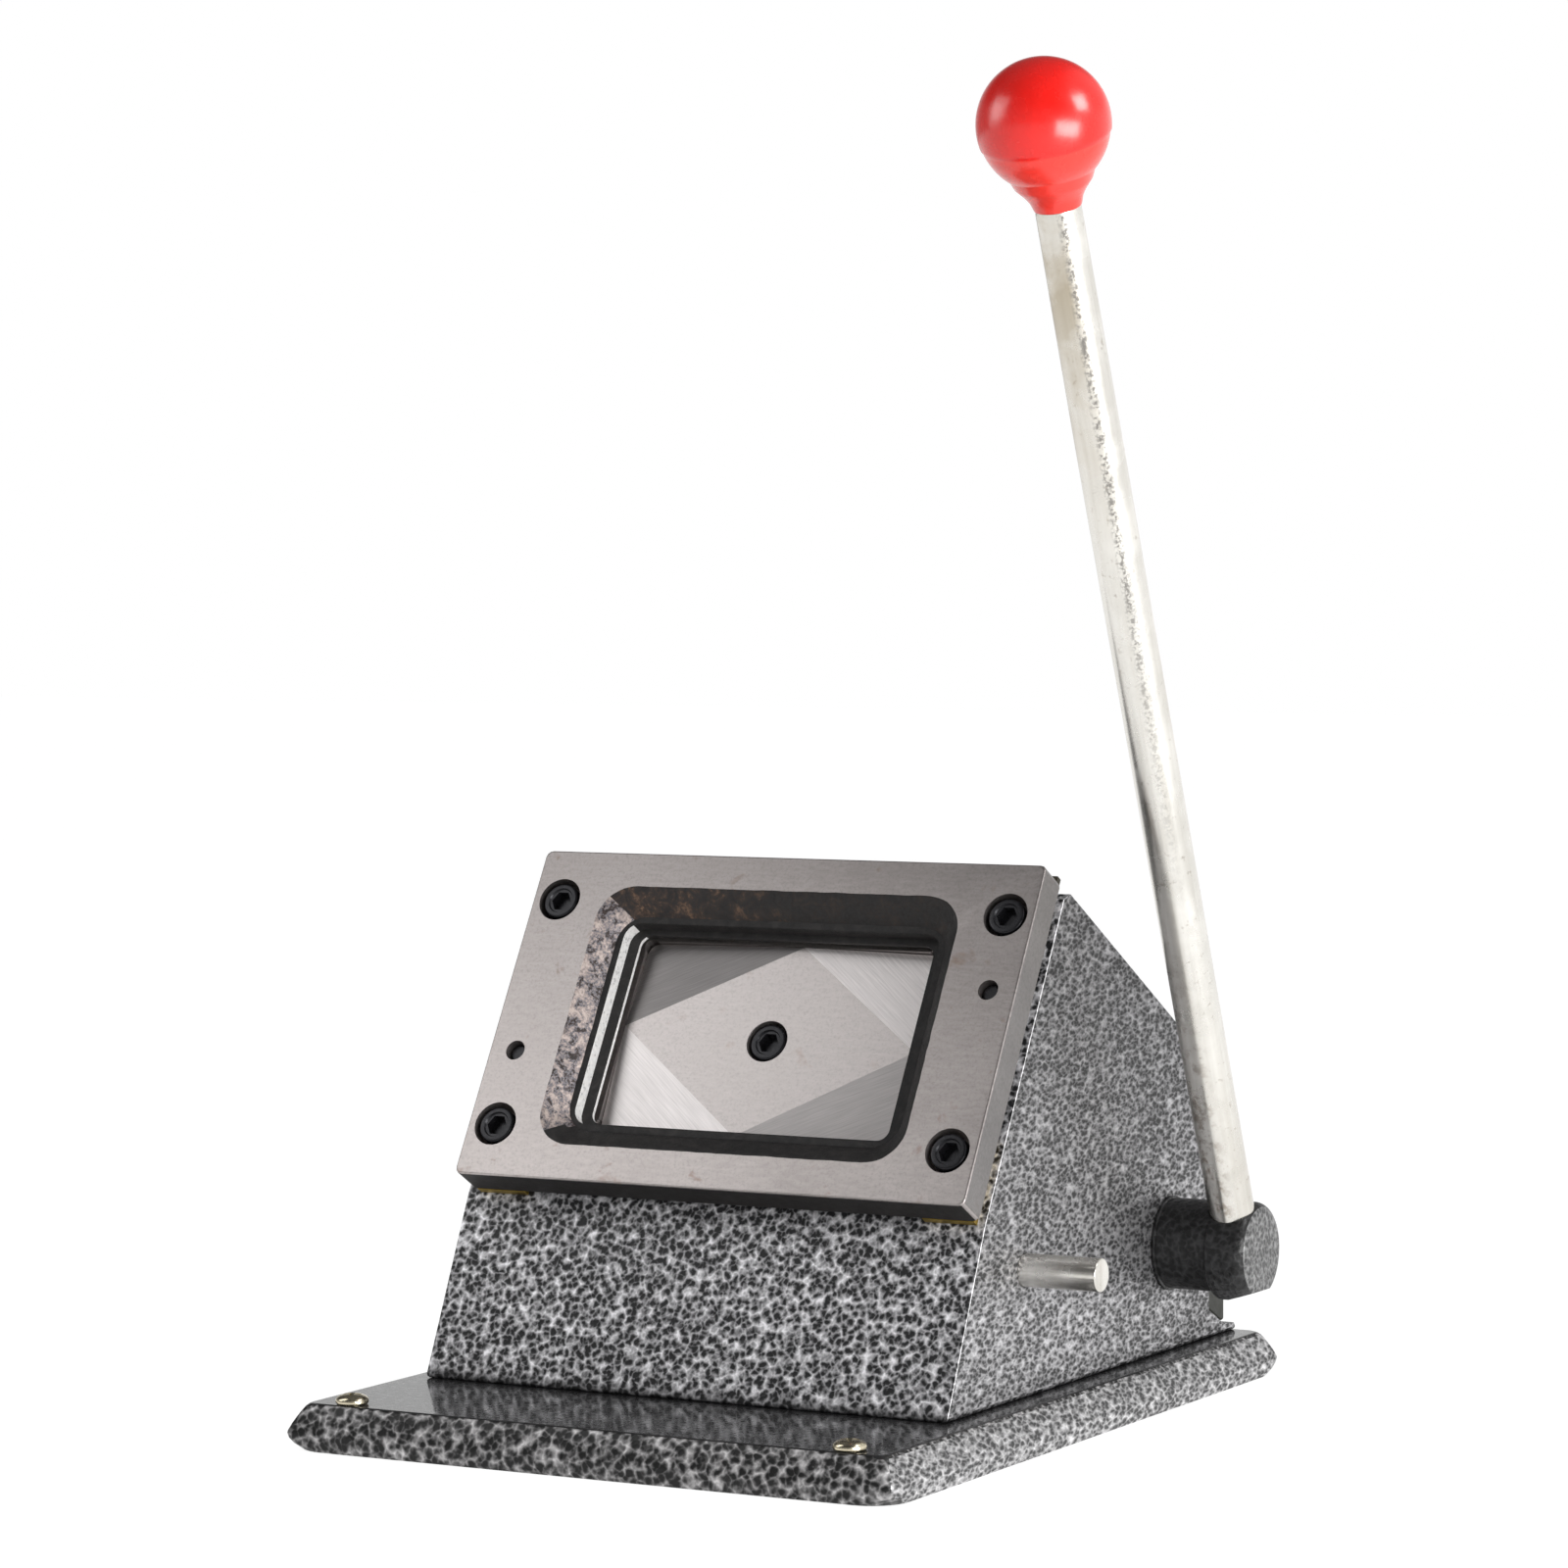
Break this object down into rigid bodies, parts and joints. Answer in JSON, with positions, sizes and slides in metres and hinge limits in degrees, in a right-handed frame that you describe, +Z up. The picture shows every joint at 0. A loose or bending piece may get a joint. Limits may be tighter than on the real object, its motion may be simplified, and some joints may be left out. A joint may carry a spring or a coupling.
{
  "type": "photo and card die cutter",
  "caption": "Bench cutter for identity photos: sloping die plate over a cam-lifted punch in a wedge housing on a flat base, worked by a long side lever with a ball knob.",
  "frame": {"origin": "middle of the base plate's underside", "axes": "+Z up, -Y towards the user and the open side of the window, +X to the lever side"},
  "size_m": [0.1951, 0.23, 0.3426],
  "materials": {
    "hammertone_grey": "hammered enamel, silver grey veins over charcoal",
    "hammertone_black": "hammered black enamel, glossy",
    "rear_paint": "satin dark olive enamel",
    "die_steel": "aged ground steel with fine rust specks",
    "ground_steel": "ground steel with fine grinding lines",
    "black_steel": "black oxide",
    "nickel": "worn nickel plating with warm tarnish",
    "brass": "dull rolled brass",
    "bronze": "sintered bronze",
    "spring_steel": "oiled spring steel",
    "red_plastic": "glossy moulded red plastic"
  },
  "bodies": {
    "body": {"base_plate": "hammertone_grey", "base_screw_1": "nickel", "base_screw_2": "nickel", "foot_screw_1": "black_steel", "foot_screw_2": "black_steel", "foot_screw_3": "black_steel", "foot_screw_4": "black_steel", "housing": "hammertone_grey", "rear_cover": "rear_paint", "cover_screw_1": "black_steel", "cover_screw_2": "black_steel", "cover_screw_3": "black_steel", "cover_screw_4": "black_steel", "die_plate": "die_steel", "die_screw_1": "black_steel", "die_screw_2": "black_steel", "die_screw_3": "black_steel", "die_screw_4": "black_steel", "dowel_1": "ground_steel", "dowel_2": "ground_steel", "shim_1": "brass", "shim_2": "brass", "shim_3": "brass", "shim_4": "brass", "guide_plate": "die_steel", "guide_screw_1": "black_steel", "guide_screw_2": "black_steel", "guide_screw_3": "black_steel", "guide_screw_4": "black_steel", "guide_post_1": "ground_steel", "guide_post_2": "ground_steel", "guide_post_3": "ground_steel", "guide_post_4": "ground_steel", "return_spring_1": "spring_steel", "return_spring_2": "spring_steel", "return_spring_3": "spring_steel", "return_spring_4": "spring_steel", "bush_left": "bronze", "bush_right": "bronze", "stop_pin": "nickel"},
    "lever": {"lever_shaft": "ground_steel", "cam": "die_steel", "cam_key": "ground_steel", "shaft_collar": "black_steel", "lever_hub": "hammertone_black", "hub_set_screw": "black_steel", "lever_rod": "nickel", "ball_knob": "red_plastic"},
    "ram": {"punch": "ground_steel", "punch_screw": "black_steel", "ram_plate": "die_steel", "roller_block": "die_steel", "roller_pin": "ground_steel", "block_screw_1": "black_steel", "block_screw_2": "black_steel"},
    "roller": {"cam_roller": "ground_steel"}
  },
  "joints": [
    {"name": "lever_swing", "type": "hinge", "parent": "body", "child": "lever", "pos_m": [0, 0.067, 0.0403], "axis": [1, 0, 0], "range_deg": [0, 58.5], "stiffness_Nm_per_rad": 1, "springref_deg": -28.65},
    {"name": "punch_slide", "type": "slide", "parent": "body", "child": "ram", "axis": [0, -0.866, 0.5], "range_m": [0, 0.0062], "deforming": ["return_spring_1", "return_spring_2", "return_spring_3", "return_spring_4"]},
    {"name": "roller_spin", "type": "hinge", "parent": "ram", "child": "roller", "pos_m": [0, 0.04102, 0.0553], "axis": [1, 0, 0], "range_deg": [-200, 10]}
  ],
  "couplings": [
    {"joint": "punch_slide", "follows": "lever_swing", "m_per_rad": 0.005876},
    {"joint": "roller_spin", "follows": "lever_swing", "ratio": -3.1}
  ]
}
